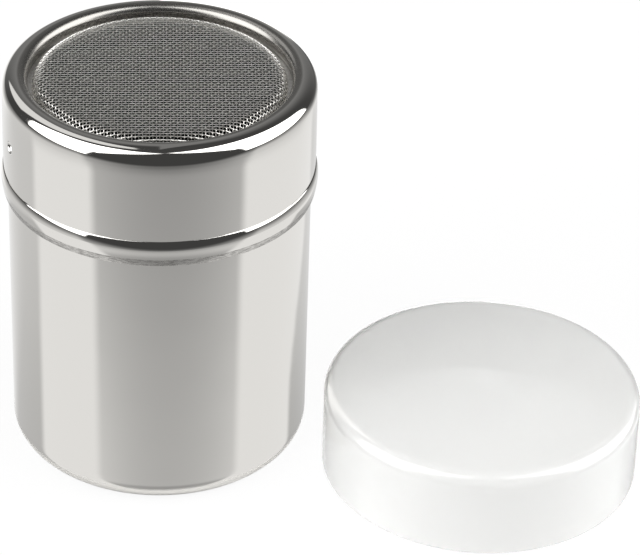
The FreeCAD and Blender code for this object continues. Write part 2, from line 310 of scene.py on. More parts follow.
def smooth_step(amount: np.ndarray) -> np.ndarray:
    """Rises smoothly from 0 at 0 to 1 at 1, as 3 t^2 - 2 t^3."""
    t = np.clip(amount, 0.0, 1.0)
    return t * t * (3.0 - 2.0 * t)


def face_places(mesh: bpy.types.Mesh) -> tuple[np.ndarray, np.ndarray]:
    """The middle of each face in millimetres, and the face's normal."""
    count = len(mesh.polygons)
    centres = np.empty(count * 3)
    normals = np.empty(count * 3)
    mesh.polygons.foreach_get("center", centres)
    mesh.polygons.foreach_get("normal", normals)
    return centres.reshape(-1, 3) / MM, normals.reshape(-1, 3)


# Finishes


def linear_colour(code: str) -> tuple[float, float, float, float]:
    """Turns an sRGB hex value into linear colour: c / 12.92 up to 0.04045, and above that
    ((c + 0.055) / 1.055) to the power of 2.4."""
    channels = [int(code[index:index + 2], 16) / 255 for index in (1, 3, 5)]
    red, green, blue = (c / 12.92 if c <= 0.04045 else ((c + 0.055) / 1.055) ** 2.4 for c in channels)
    return (red, green, blue, 1.0)


def add_node(
    tree: bpy.types.NodeTree, kind: str, inputs: Optional[dict[Any, Any]] = None, **settings: Any
) -> bpy.types.Node:
    """Adds a node, sets its properties and fills its inputs.

    Args:
        tree: the node tree.
        kind: the node's type name without its ShaderNode prefix.
        inputs: for each input's name or number, a value or the socket that feeds it.
        settings: the node's own properties.

    Returns:
        The node.
    """
    node = tree.nodes.new("ShaderNode" + kind)
    for name, setting in settings.items():
        setattr(node, name, setting)
    for key, given in (inputs or {}).items():
        if isinstance(given, bpy.types.NodeSocket):
            tree.links.new(given, node.inputs[key])
        else:
            node.inputs[key].default_value = given
    return node


def new_material(name: str) -> bpy.types.Material:
    """A material whose node tree is empty."""
    material = bpy.data.materials.new(name)
    material.use_nodes = True
    material.node_tree.nodes.clear()
    return material


def end_material(tree: bpy.types.NodeTree, surface: bpy.types.NodeSocket) -> None:
    """Joins a shader to the material's output."""
    add_node(tree, "OutputMaterial", {"Surface": surface})


def per_metre(millimetres: float) -> float:
    """The scale of a pattern whose features are that far apart, on coordinates in metres."""
    return 1.0 / (millimetres * MM)


@dataclass(frozen=True)
class PolishedSheet:
    """Mirror-polished 18/8 stainless sheet: drawn to shape, then buffed round and round.

    The eye gets a slightly warm mirror with faint lines round the axis, a haze of finger
    marks, and broad waves left by the drawing that make the edges of what it mirrors wander.
    Inside the dull radius, where the wheel doesn't reach, the drawn skin stays satin, and its greyer
    colour there is partly that satin skin and partly painted shade of the gap between rim and cloth.
    """

    name: str = "mirror_polished_stainless"
    colour: str = "#dedcd8"
    line_spacing: float = 0.45
    line_length: float = 30.0
    line_depth: float = 0.0004
    wave_size: float = 15.0
    wave_depth: float = 0.02
    haze_size: float = 16.0
    roughness_low: float = 0.035
    roughness_high: float = 0.075
    dull_and_shade_radius: float = 0.0
    dull_and_shade_fade: float = 0.7
    dull_roughness: float = 0.27
    # partly satin grey, partly painted shade of the gap between the rim and the cloth
    dull_and_shade_colour: str = "#9b9995"

    def make(self) -> bpy.types.Material:
        """Builds the material."""
        material = new_material(self.name)
        tree = material.node_tree
        place = add_node(tree, "TexCoord").outputs["Object"]
        around = per_metre(self.line_length)
        along = per_metre(self.line_spacing)
        stretched = add_node(tree, "Mapping", {"Vector": place, "Scale": (around, around, along)})
        lines = add_node(tree, "TexNoise", {
            "Vector": stretched.outputs[0], "Scale": 1.0, "Detail": 3.0, "Roughness": 0.6,
        })
        haze = add_node(tree, "TexNoise", {
            "Vector": place, "Scale": per_metre(self.haze_size), "Detail": 4.0, "Roughness": 0.55,
        })
        waves = add_node(tree, "TexNoise", {
            "Vector": place, "Scale": per_metre(self.wave_size), "Detail": 1.0, "Roughness": 0.4,
        })
        mixed = add_node(tree, "Math", {
            0: lines.outputs["Fac"], 1: haze.outputs["Fac"],
        }, operation="MULTIPLY")
        rough = add_node(tree, "MapRange", {
            "Value": mixed.outputs[0], "From Min": 0.1, "From Max": 0.45,
            "To Min": self.roughness_low, "To Max": self.roughness_high,
        }).outputs[0]
        colour: Any = linear_colour(self.colour)
        if self.dull_and_shade_radius > 0:
            colour, rough = self.dull_and_shaded_inside(tree, place, rough)
        broad = add_node(tree, "Bump", {
            "Height": waves.outputs["Fac"], "Strength": 1.0, "Distance": self.wave_depth * MM,
        })
        bump = add_node(tree, "Bump", {
            "Height": lines.outputs["Fac"], "Strength": 0.3, "Distance": self.line_depth * MM,
            "Normal": broad.outputs[0],
        })
        shader = add_node(tree, "BsdfPrincipled", {
            "Base Color": colour, "Metallic": 1.0, "Roughness": rough, "Normal": bump.outputs[0],
        })
        end_material(tree, shader.outputs[0])
        return material

    def dull_and_shaded_inside(
        self, tree: bpy.types.NodeTree, place: bpy.types.NodeSocket, rough: bpy.types.NodeSocket
    ) -> tuple[bpy.types.NodeSocket, bpy.types.NodeSocket]:
        """Goes from the polished colour and roughness at the dull radius to the dull ones further in:
        a satin roughness, and a darker colour that is partly satin grey and partly painted shade of
        the gap between the rim and the cloth.

        Args:
            tree: the material's node tree.
            place: the place on the object.
            rough: the polished skin's roughness.

        Returns:
            The sockets that give the colour and the roughness.
        """
        level = add_node(tree, "VectorMath", {0: place, 1: (1.0, 1.0, 0.0)}, operation="MULTIPLY")
        reach = add_node(tree, "VectorMath", {0: level.outputs[0]}, operation="LENGTH")
        polished = add_node(tree, "MapRange", {
            "Value": reach.outputs["Value"],
            "From Min": (self.dull_and_shade_radius - self.dull_and_shade_fade) * MM, "From Max": self.dull_and_shade_radius * MM,
        }, interpolation_type="SMOOTHSTEP").outputs[0]
        shade = add_node(tree, "ValToRGB", {"Fac": polished})
        shade.color_ramp.elements[0].color = linear_colour(self.dull_and_shade_colour)
        shade.color_ramp.elements[1].color = linear_colour(self.colour)
        gloss = add_node(tree, "MapRange", {
            "Value": polished, "To Min": self.dull_roughness, "To Max": rough,
        })
        return shade.outputs[0], gloss.outputs[0]


@dataclass(frozen=True)
class CurledEdge:
    """The hem's rolled edge: the same stainless sheet where the roller has scuffed it and the
    buffing wheel doesn't reach. It looks grey and streaky, with short rough marks along it; its
    grey is partly those scuffs and partly painted shade of the gap between the hem and the can."""

    name: str = "rolled_stainless_edge_with_painted_shade"
    # both greys are darker than the polished sheet: partly scuffs, partly painted shade of the gap under
    # the hem
    light: str = "#cfcdc9"
    dark: str = "#8f8d8a"
    mark_length: float = 1.6
    mark_height: float = 0.35

    def make(self) -> bpy.types.Material:
        """Builds the material."""
        material = new_material(self.name)
        tree = material.node_tree
        place = add_node(tree, "TexCoord").outputs["Object"]
        around = per_metre(self.mark_length)
        along = per_metre(self.mark_height)
        stretched = add_node(tree, "Mapping", {"Vector": place, "Scale": (around, around, along)})
        marks = add_node(tree, "TexNoise", {
            "Vector": stretched.outputs[0], "Scale": 1.0, "Detail": 5.0, "Roughness": 0.7,
        })
        shade = add_node(tree, "ValToRGB", {"Fac": marks.outputs["Fac"]})
        shade.color_ramp.elements[0].position = 0.35
        shade.color_ramp.elements[0].color = linear_colour(self.dark)
        shade.color_ramp.elements[1].position = 0.62
        shade.color_ramp.elements[1].color = linear_colour(self.light)
        rough = add_node(tree, "MapRange", {
            "Value": marks.outputs["Fac"], "From Min": 0.3, "From Max": 0.7, "To Min": 0.38, "To Max": 0.16,
        })
        bump = add_node(tree, "Bump", {
            "Height": marks.outputs["Fac"], "Strength": 0.8, "Distance": 0.03 * MM,
        })
        shader = add_node(tree, "BsdfPrincipled", {
            "Base Color": shade.outputs[0], "Metallic": 1.0,
            "Roughness": rough.outputs[0], "Normal": bump.outputs[0],
        })
        end_material(tree, shader.outputs[0])
        return material


@dataclass(frozen=True)
class DrawnWire:
    """Stainless wire as drawn for sieve cloth: bright, with a soft gloss that varies from
    crossing to crossing."""

    name: str = "drawn_stainless_wire"
    light: str = "#f6f4f0"
    dark: str = "#dcdad6"
    patch: float = 0.8
    roughness_low: float = 0.35
    roughness_high: float = 0.45

    def make(self) -> bpy.types.Material:
        """Builds the material."""
        material = new_material(self.name)
        tree = material.node_tree
        place = add_node(tree, "TexCoord").outputs["Object"]
        patches = add_node(tree, "TexNoise", {
            "Vector": place, "Scale": per_metre(self.patch), "Detail": 2.0, "Roughness": 0.6,
        })
        shade = add_node(tree, "ValToRGB", {"Fac": patches.outputs["Fac"]})
        shade.color_ramp.elements[0].position = 0.3
        shade.color_ramp.elements[0].color = linear_colour(self.dark)
        shade.color_ramp.elements[1].position = 0.7
        shade.color_ramp.elements[1].color = linear_colour(self.light)
        rough = add_node(tree, "MapRange", {
            "Value": patches.outputs["Fac"], "From Min": 0.3, "From Max": 0.7,
            "To Min": self.roughness_high, "To Max": self.roughness_low,
        })
        shader = add_node(tree, "BsdfPrincipled", {
            "Base Color": shade.outputs[0], "Metallic": 1.0, "Roughness": rough.outputs[0],
        })
        end_material(tree, shader.outputs[0])
        return material


@dataclass(frozen=True)
class MillSheet:
    """Stainless sheet as it comes from the mill, pressed and left unpolished: a satin grey with
    a fine even grain."""

    name: str = "mill_finish_stainless"
    colour: str = "#c9c7c3"
    grain: float = 0.5

    def make(self) -> bpy.types.Material:
        """Builds the material."""
        material = new_material(self.name)
        tree = material.node_tree
        place = add_node(tree, "TexCoord").outputs["Object"]
        grain = add_node(tree, "TexNoise", {
            "Vector": place, "Scale": per_metre(self.grain), "Detail": 4.0, "Roughness": 0.65,
        })
        rough = add_node(tree, "MapRange", {
            "Value": grain.outputs["Fac"], "From Min": 0.3, "From Max": 0.7, "To Min": 0.26, "To Max": 0.4,
        })
        bump = add_node(tree, "Bump", {
            "Height": grain.outputs["Fac"], "Strength": 0.3, "Distance": 0.004 * MM,
        })
        shader = add_node(tree, "BsdfPrincipled", {
            "Base Color": linear_colour(self.colour), "Metallic": 1.0,
            "Roughness": rough.outputs[0], "Normal": bump.outputs[0],
        })
        end_material(tree, shader.outputs[0])
        return material


@dataclass(frozen=True)
class NaturalPlastic:
    """Natural polypropylene, injection-moulded in a polished tool: milky and translucent, so
    that its far rim shows faintly through the top, with a clean gloss and a barely wavy skin."""

    name: str = "natural_polypropylene"
    colour: str = "#ebebea"
    flow: float = 9.0
    scatter: float = 3.0
    gloss_ior: float = 1.49
    gloss_level: float = 0.75
    clear_share: float = 0.44
    scatter_share: float = 0.8
    roughness_low: float = 0.03
    roughness_high: float = 0.055

    def make(self) -> bpy.types.Material:
        """Builds the material."""
        material = new_material(self.name)
        tree = material.node_tree
        place = add_node(tree, "TexCoord").outputs["Object"]
        flow = add_node(tree, "TexNoise", {
            "Vector": place, "Scale": per_metre(self.flow), "Detail": 2.0, "Roughness": 0.5,
        })
        rough = add_node(tree, "MapRange", {
            "Value": flow.outputs["Fac"], "From Min": 0.3, "From Max": 0.7,
            "To Min": self.roughness_low, "To Max": self.roughness_high,
        })
        bump = add_node(tree, "Bump", {
            "Height": flow.outputs["Fac"], "Strength": 0.25, "Distance": 0.02 * MM,
        })
        shader = add_node(tree, "BsdfPrincipled", {
            "Base Color": linear_colour(self.colour), "Roughness": rough.outputs[0],
            "Normal": bump.outputs[0], "IOR": self.gloss_ior,
            "Specular IOR Level": self.gloss_level,
            "Transmission Weight": self.clear_share,
            "Subsurface Weight": self.scatter_share,
            "Subsurface Radius": (self.scatter * MM, self.scatter * MM, self.scatter * MM),
            "Subsurface Scale": 1.0,
        })
        end_material(tree, shader.outputs[0])
        return material


# Pieces


def install(
    piece: bpy.types.Object, body: Body, slot: Slot, nodes: Sequence[str], *finishes: bpy.types.Material
) -> None:
    """Dresses a piece, says which body it rides on, and hides the solids that it stands for."""
    for finish in finishes:
        piece.data.materials.append(finish)
    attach(piece, body.value)
    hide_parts(*nodes)
    faces = sum(len(polygon.vertices) - 2 for polygon in piece.data.polygons)
    LOG.info("%s rides on %s: %d triangles", piece.name, body.value, faces)


@dataclass(frozen=True)
class Bayonet:
    """The two lugs of the lid, opposite each other, and the channels that they run in."""

    azimuth: float = 199.7
    height: float = 80.25
    ball: float = 1.95
    reach: float = 1.0
    turn: float = 25.0
    half_width: float = 1.7
    depth: float = 0.9
    shoulder: float = 0.5

    def azimuths(self) -> tuple[float, float]:
        """The azimuth of each lug."""
        return (self.azimuth, self.azimuth - 180.0)


@dataclass
class DrawnCan:
    """The drawn can: one wall of even thickness, a rounded base edge, and the two L-shaped
    channels pressed into the wall from its mouth."""

    wall: float = 0.5
    corner: float = 5.5
    edge: float = 0.18
    bayonet: Bayonet = Bayonet()

    def __post_init__(self) -> None:
        """Reads the can's radius and mouth from the frame."""
        low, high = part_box("can_body")
        self.radius = (high.x - low.x) / 2 / MM
        self.mouth = high.z / MM

    def channel_shift(self, radius: np.ndarray, height: np.ndarray, azimuth: np.ndarray) -> np.ndarray:
        """How far the wall is pressed in.

        The distance to a channel's centre line, down from the mouth and then round to one side,
        is taken on the unrolled wall. The wall lies at full depth up to half_width from that
        line and rises to nothing over the shoulder beyond it, by a smooth step. The floor and
        everything away from the wall stays.
        """
        b = self.bayonet
        pressed = np.zeros(radius.shape)
        for start in b.azimuths():
            turn = (azimuth - start + 180.0) % 360.0 - 180.0
            across = np.radians(turn) * self.radius
            run = math.radians(b.turn) * self.radius
            to_entry = np.hypot(across, np.minimum(height - b.height, 0.0))
            to_run = np.hypot(across - np.clip(across, 0.0, run), height - b.height)
            beyond = np.minimum(to_entry, to_run) - b.half_width
            pressed = np.maximum(pressed, 1.0 - smooth_step(beyond / b.shoulder))
        on_wall = radius > self.radius - 2 * self.wall
        return pressed * b.depth * on_wall

    def build(self, polished: bpy.types.Material, inside: bpy.types.Material) -> None:
        """Builds the can, its inside in its own finish: unbuffed steel in a dark grey that is painted shade
        of the closed can.
        """
        inner = self.radius - self.wall
        reach = self.bayonet.half_width + self.bayonet.shoulder
        spacing = Spacing(
            turn=5.0, band_low=self.bayonet.height - reach, band_high=self.mouth, band_step=0.32,
        )
        outline = outline_points((
            Corner(0.0, 0.0),
            Corner(self.radius, 0.0, self.corner),
            Corner(self.radius, self.mouth, self.edge),
            Corner(inner, self.mouth, self.edge),
            Corner(inner, self.wall, self.corner - self.wall),
            Corner(0.0, self.wall),
        ), spacing)
        margin = math.degrees(reach / self.radius) + 0.5
        windows = [
            (start - margin, start + self.bayonet.turn + margin) for start in self.bayonet.azimuths()
        ]
        azimuths = turn_azimuths(step=1.5, windows=windows, fine=0.55)
        piece = turned_piece("drawn_can", outline, azimuths, shift=self.channel_shift)
        install(piece, Body.CAN, Slot.POLISHED, ("can_body",), polished, inside)
        self.mark_inside(piece.data)

    def mark_inside(self, mesh: bpy.types.Mesh) -> None:
        """Gives the second finish, a dark grey as painted shade, to the faces of the inside: those that
        face the point on the axis at half the mouth's height."""
        centres, normals = face_places(mesh)
        towards = np.column_stack([-centres[:, :2], self.mouth / 2 - centres[:, 2]])
        facing = np.einsum("ij,ij->i", towards, normals) > 0
        mesh.polygons.foreach_set("material_index", facing.astype(np.int32))


@dataclass
class PressedLid:
    """The lid: one sheet from the sieve opening over the rounded rim, down the skirt and out
    into a closed, bellied hem, with two dimples pressed in as bayonet lugs."""

    wall: float = 0.5
    outer_bend: float = 3.7
    inner_bend: float = 1.9
    lip: float = 1.5
    ease_drop: float = 5.6
    ease_inset: float = 0.112
    ease_bend: float = 110.0
    hem_proud: float = 0.55
    hem_height: float = 6.15
    flare_height: float = 2.1
    fold: float = 0.25
    raw_edge: float = 0.12
    scuffed_and_shaded_height: float = 1.75
    edge: float = 0.15
    dimple_blend: float = 0.05
    bayonet: Bayonet = Bayonet()

    def __post_init__(self) -> None:
        """Reads the lid's hem radius, foot and top from the frame."""
        low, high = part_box("lid_shell")
        self.hem_radius = (high.x - low.x) / 2 / MM
        self.foot = low.z / MM
        self.top = high.z / MM
        self.radius = self.hem_radius - self.hem_proud
        self.opening = self.radius - self.outer_bend - self.inner_bend
        self.lip_height = self.top - self.inner_bend - self.lip
        self.hem_top = self.foot + self.hem_height

    def hem(self) -> list[Corner]:
        """The hem's outline from its fold at the foot up to the sheet's raw edge on the skirt.

        The fold is an arc about its own middle. The belly's lower arc runs smoothly into it: its
        centre lies level with the belly's widest place, and its radius is
        (inset^2 + drop^2 - fold^2) / (2 (inset - fold)), where inset and drop are the fold's
        distances from the widest place. The upper arc ends as high as the hem, short of the skirt
        by the raw edge: its radius is (rise^2 + lean^2) / (2 lean).
        """
        belly = self.hem_top - self.flare_height
        fold_radius = self.radius - self.wall + self.fold
        fold_height = self.foot + self.fold
        inset = self.hem_radius - fold_radius
        drop = belly - fold_height
        lower = (inset ** 2 + drop ** 2 - self.fold ** 2) / (2 * (inset - self.fold))
        join = math.degrees(math.atan2(drop, lower - inset))
        rise = self.flare_height - self.raw_edge / 2
        lean = self.hem_proud - self.raw_edge
        upper = (rise ** 2 + lean ** 2) / (2 * lean)
        top = math.degrees(math.asin(rise / upper))
        return [
            *arc_corners((fold_radius, fold_height), self.fold, 180.0, 360.0 - join, 12),
            *arc_corners((self.hem_radius - lower, belly), lower, -join, 0.0, 14)[1:],
            *arc_corners((self.hem_radius - upper, belly), upper, 0.0, top, 12)[1:],
            Corner(self.radius + self.raw_edge / 2, self.hem_top),
            Corner(self.radius, self.hem_top),
        ]

    def dimple_shift(self, radius: np.ndarray, height: np.ndarray, azimuth: np.ndarray) -> np.ndarray:
        """How far the skirt is pressed in round each lug.

        The tool is a ball. On the outside its radius is the lug's ball radius less the wall, and
        on the inside the whole ball radius. The shift at a distance d from the lug's middle is
        sqrt(ball^2 - d^2) less the distance of the ball's centre inside the skirt, and it runs
        out to nothing as k log(1 + exp(shift / k)), which rounds the dimple's edge.
        """
        b = self.bayonet
        centre = self.radius - self.wall - b.reach + b.ball
        outside = radius > self.radius - self.wall / 2
        ball = np.where(outside, b.ball - self.wall, b.ball)
        surface = np.where(outside, self.radius, self.radius - self.wall)
        pressed = np.zeros(radius.shape)
        for start in b.azimuths():
            turn = (azimuth - start + 180.0) % 360.0 - 180.0
            distance = np.hypot(np.radians(turn) * self.radius, height - b.height)
            sink = np.sqrt(np.maximum(ball ** 2 - distance ** 2, 0.0))
            sink = np.where(distance < ball, sink, ball - distance) - (centre - surface)
            soft = self.dimple_blend * np.logaddexp(0.0, sink / self.dimple_blend)
            pressed = np.maximum(pressed, np.where(np.abs(turn) < 10.0, soft, 0.0))
        skirt = (radius > self.radius - 2 * self.wall) & (height > self.hem_top)
        return pressed * skirt * (height < self.top - self.outer_bend)

    def build(self, polished: bpy.types.Material, rolled: bpy.types.Material) -> None:
        """Builds the lid, its rolled edge in its own finish."""
        bore = self.radius - self.wall
        ball = self.bayonet.ball + 0.5
        spacing = Spacing(
            turn=3.0,
            band_low=self.bayonet.height - ball, band_high=self.bayonet.height + ball, band_step=0.16,
        )
        outline = outline_points((
            *self.hem(),
            Corner(self.radius, self.top - self.ease_drop, self.ease_bend),
            Corner(self.radius - self.ease_inset, self.top, self.outer_bend),
            Corner(self.opening, self.top, self.inner_bend - 0.001),
            Corner(self.opening, self.lip_height, self.edge),
            Corner(self.opening + self.wall, self.lip_height, self.edge),
            Corner(self.opening + self.wall, self.top - self.wall, self.inner_bend - self.wall - 0.001),
            Corner(bore, self.top - self.wall, self.outer_bend - self.wall),
        ), spacing)
        margin = math.degrees(ball / self.radius)
        windows = [(start - margin, start + margin) for start in self.bayonet.azimuths()]
        azimuths = turn_azimuths(step=1.45, windows=windows, fine=0.25)
        piece = turned_piece("lid_pressing", outline, azimuths, shift=self.dimple_shift)
        install(piece, Body.LID, Slot.POLISHED, ("lid_shell",), polished, rolled)
        self.mark_rolled_edge(piece.data)

    def mark_rolled_edge(self, mesh: bpy.types.Mesh) -> None:
        """Gives the second finish, scuffed grey with painted shade, to the faces of the hem up to its
        scuffed height.
        """
        centres, _ = face_places(mesh)
        reach = np.hypot(centres[:, 0], centres[:, 1])
        scuffed = centres[:, 2] < self.foot + self.scuffed_and_shaded_height
        rolled = scuffed & (reach > self.radius - self.wall + 0.01)
        mesh.polygons.foreach_set("material_index", rolled.astype(np.int32))


@dataclass
class WireSieve:
    """The sieve: plain-woven wire cloth, flat across its top and bent down at its edge, with
    its border clamped under the rim."""

    warp_wire: float = 0.185
    weft_wire: float = 0.265
    warp_crimp: float = 0.152
    warp_pitch: float = 0.744
    weft_pitch: float = 0.952
    flat_radius: float = 25.0
    bend: float = 2.85
    reach: float = 29.2
    border_radius: float = 32.5
    border_height: float = 0.45
    samples: int = 4
    sides: int = 6
    wobble: float = 0.004
    seed: int = 7

    def __post_init__(self) -> None:
        """Reads the cloth's top and foot from the frame."""
        low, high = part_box("sieve_cloth")
        self.foot = low.z / MM
        self.weft_crimp = (self.warp_wire + self.weft_wire) / 2 - self.warp_crimp
        proud = max(self.warp_crimp + self.warp_wire / 2, self.weft_crimp + self.weft_wire / 2)
        self.middle = high.z / MM - proud

    def drape(self, plan: np.ndarray, lift: np.ndarray) -> tuple[np.ndarray, np.ndarray]:
        """Carries flat cloth onto the sieve's form.

        The distance s from the middle is kept as arc length. Up to the flat's radius the cloth
        is level. Beyond it, it bends down by the angle (s - flat) / bend, up to a right angle,
        and the rest hangs straight. A point lifted off the cloth moves along its normal.

        Args:
            plan: x and y on the flat cloth.
            lift: distance off the cloth's middle surface.

        Returns:
            The points and the surface normals there.
        """
        distance = np.maximum(np.linalg.norm(plan, axis=1), 1e-9)
        outward = plan / distance[:, None]
        arc = np.clip((distance - self.flat_radius) / self.bend, 0.0, math.pi / 2)
        hang = np.maximum(distance - self.flat_radius - self.bend * math.pi / 2, 0.0)
        radius = np.minimum(distance, self.flat_radius) + self.bend * np.sin(arc)
        height = self.middle - self.bend * (1.0 - np.cos(arc)) - hang
        normal = np.column_stack([outward * np.sin(arc)[:, None], np.cos(arc)])
        points = np.column_stack([outward * radius[:, None], height]) + normal * lift[:, None]
        return points, normal

    def wire_tube(
        self, centre: np.ndarray, normal: np.ndarray, wire: float
    ) -> tuple[np.ndarray, np.ndarray]:
        """A round tube along a centre line, closed at both ends.

        The ring at a point is centre + r (cos a side + sin a lifted), where side is square to
        the line and the cloth's normal, and lifted is square to the line and side.

        Args:
            centre: the points of the centre line.
            normal: the cloth's normals there.
            wire: the tube's thickness.

        Returns:
            The tube's points and quads.
        """
        along = np.gradient(centre, axis=0)
        along /= np.linalg.norm(along, axis=1)[:, None]
        side = np.cross(along, normal)
        side /= np.linalg.norm(side, axis=1)[:, None]
        lifted = np.cross(side, along)
        angle = np.arange(self.sides) * 2 * math.pi / self.sides
        across = np.cos(angle)[None, :, None] * side[:, None]
        upward = np.sin(angle)[None, :, None] * lifted[:, None]
        rings = centre[:, None] + (across + upward) * wire / 2
        start = np.repeat(centre[:1, None], self.sides, axis=1)
        end = np.repeat(centre[-1:, None], self.sides, axis=1)
        grid = np.concatenate([start, rings, end])
        return grid.reshape(-1, 3), grid_quads(len(grid), self.sides, wrap_rows=False, wrap_columns=True)

    def wires(
        self, name: str, wire: float, crimp: float, pitch: float, crossing: float, along_y: bool
    ) -> bpy.types.Object:
        """One set of parallel wires, each rising and dipping over the other set.

        The wire's height over the cloth is its crimp times cos(pi t / crossing), with the sign
        of every second wire turned round. The two sets have opposite signs, and their crimps
        add up to the distance between their centre lines where they cross.

        Args:
            name: the piece's name.
            wire: the wires' thickness.
            crimp: how far they rise and dip.
            pitch: distance between these wires.
            crossing: distance between the wires that they cross.
            along_y: whether they run along y.

        Returns:
            The piece.
        """
        random = np.random.default_rng(self.seed + along_y)
        count = int(self.reach / pitch)
        points = []
        quads = []
        total = 0
        for index in range(-count, count + 1):
            offset = index * pitch
            half = math.sqrt(max(self.reach ** 2 - offset ** 2, 0.0))
            steps = int(half / crossing * self.samples)
            if steps < self.samples:
                continue
            run = np.arange(-steps, steps + 1) * crossing / self.samples
            phase = random.uniform(0, 2 * math.pi)
            sway = self.wobble * np.sin(run * 0.21 + phase) + random.normal(0, self.wobble)
            plan = np.column_stack([np.full(len(run), offset) + sway, run])
            if not along_y:
                plan = plan[:, ::-1]
            sign = (1 if along_y else -1) * (-1) ** (index % 2)
            lift = sign * crimp * np.cos(math.pi * run / crossing)
            centre, normal = self.drape(plan, lift)
            tube, faces = self.wire_tube(centre, normal, wire)
            points.append(tube)
            quads.append(faces + total)
            total += len(tube)
        return make_piece(name, np.concatenate(points), np.concatenate(quads))

    def build(self, warp_finish: bpy.types.Material, weft_finish: bpy.types.Material) -> None:
        """Builds both sets of wires and the border that the ring clamps."""
        warp = self.wires(
            "warp_wires", self.warp_wire, self.warp_crimp, self.warp_pitch, self.weft_pitch, along_y=True,
        )
        weft = self.wires(
            "weft_wires", self.weft_wire, self.weft_crimp, self.weft_pitch, self.warp_pitch, along_y=False,
        )
        bore = self.flat_radius + self.bend - self.weft_wire
        border = turned_piece("cloth_border", outline_points((
            Corner(bore, self.foot, 0.1),
            Corner(self.border_radius, self.foot, 0.1),
            Corner(self.border_radius, self.foot + self.border_height, 0.1),
            Corner(bore, self.foot + self.border_height, 0.1),
        )), turn_azimuths(step=3.0))
        for piece, finish in ((warp, warp_finish), (weft, weft_finish), (border, weft_finish)):
            install(piece, Body.LID, Slot.CLOTH, ("sieve_cloth",), finish)


@dataclass
class ClampRing:
    """The pressed ring inside the lid: a flat web under the cloth's border and a short sleeve
    inside the cloth's bend."""

    wall: float = 0.8
    bend: float = 1.2
    sleeve_bore: float = 26.55
    edge: float = 0.15

    def build(self, finish: bpy.types.Material) -> None:
        """Builds the ring."""
        low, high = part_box("sieve_ring")
        outer = (high.x - low.x) / 2 / MM
        foot = low.z / MM
        top = high.z / MM
        piece = turned_piece("clamping_ring", outline_points((
            Corner(self.sleeve_bore, foot, self.bend),
            Corner(outer, foot, self.edge),
            Corner(outer, foot + self.wall, self.edge),
            Corner(self.sleeve_bore + self.wall, foot + self.wall, self.bend - self.wall),
            Corner(self.sleeve_bore + self.wall, top, self.edge),
            Corner(self.sleeve_bore, top, self.edge),
        )), turn_azimuths(step=1.5))
        install(piece, Body.LID, Slot.PRESSED, ("sieve_ring",), finish)


@dataclass
class MouldedCap:
    """The storage cap: a slightly domed top of even wall, a rounded corner and a straight skirt
    that stands on its open end."""

    wall: float = 1.1
    corner: float = 3.3
    dome_radius: float = 355.0
    edge: float = 0.35
    dome_steps: int = 36

    def __post_init__(self) -> None:
        """Reads the cap's place, radius and height from the frame."""
        low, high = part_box("storage_cap")
        self.radius = (high.x - low.x) / 2 / MM
        self.centre = ((low.x + high.x) / 2 / MM, (low.y + high.y) / 2 / MM)
        self.height = high.z / MM

    def crown(self, offset: float, corner_height: float) -> np.ndarray:
        """The corner's arc and the dome's arc of the surface that lies offset inside the outer one.

        Both arcs keep the outer ones' centres: the corner's at its own height beside the skirt,
        and the dome's on the axis. They meet on the line through both centres.
        """
        corner_x = self.radius - self.corner
        dome_centre = self.height - self.dome_radius
        lean = math.atan2(corner_height - dome_centre, corner_x)
        bend = np.linspace(0.0, lean, 22)
        corner = np.column_stack([
            corner_x + (self.corner - offset) * np.cos(bend),
            corner_height + (self.corner - offset) * np.sin(bend),
        ])
        sweep = np.linspace(lean, math.pi / 2, self.dome_steps)[1:]
        dome = np.column_stack([
            (self.dome_radius - offset) * np.cos(sweep),
            dome_centre + (self.dome_radius - offset) * np.sin(sweep),
        ])
        dome[-1, 0] = 0.0
        return np.concatenate([corner, dome])

    def build(self, finish: bpy.types.Material) -> None:
        """Builds the cap."""
        corner_x = self.radius - self.corner
        arm = self.dome_radius - self.corner
        corner_height = self.height - self.dome_radius + math.sqrt(arm ** 2 - corner_x ** 2)
        bore = self.radius - self.wall
        foot = outline_points((
            Corner(bore, corner_height),
            Corner(bore, 0.0, self.edge),
            Corner(self.radius, 0.0, self.edge),
            Corner(self.radius, corner_height),
        ), Spacing(straight=2.0))
        foot = foot[(foot[:, 1] < corner_height - 0.01)]
        outline = np.concatenate([
            foot, self.crown(0.0, corner_height), self.crown(self.wall, corner_height)[::-1],
        ])
        piece = turned_piece("moulded_cap", outline, turn_azimuths(step=1.25), centre=self.centre)
        # The can mirrors the table without the cap, and light passes through the cap's milky wall.
        piece.visible_glossy = False
        piece.visible_shadow = False
        install(piece, Body.CAP, Slot.PLASTIC, ("storage_cap",), finish)


# Studio


@dataclass(frozen=True)
class LightPanel:
    """A flat light panel as the object sees it: the azimuth and elevation of its corners in
    degrees, anticlockwise from inside, where azimuth 0 is towards the viewer and 90 to the
    right, how bright it is, and how wide its soft edge is."""

    corners: tuple[tuple[float, float], ...]
    level: float
    soft: float = 0.03

    def directions(self) -> np.ndarray:
        """The corners as unit vectors."""
        azimuth, elevation = np.radians(np.array(self.corners)).T
        flat = np.cos(elevation)
        return np.column_stack([np.sin(azimuth) * flat, -np.cos(azimuth) * flat, np.sin(elevation)])

    def sides(self) -> np.ndarray:
        """For each side, the normal of the plane through it and the object, pointing at the
        panel's middle."""
        corners = self.directions()
        normals = np.cross(corners, np.roll(corners, -1, axis=0))
        normals /= np.linalg.norm(normals, axis=1)[:, None]
        return normals * np.sign(normals @ corners.mean(axis=0))[:, None]


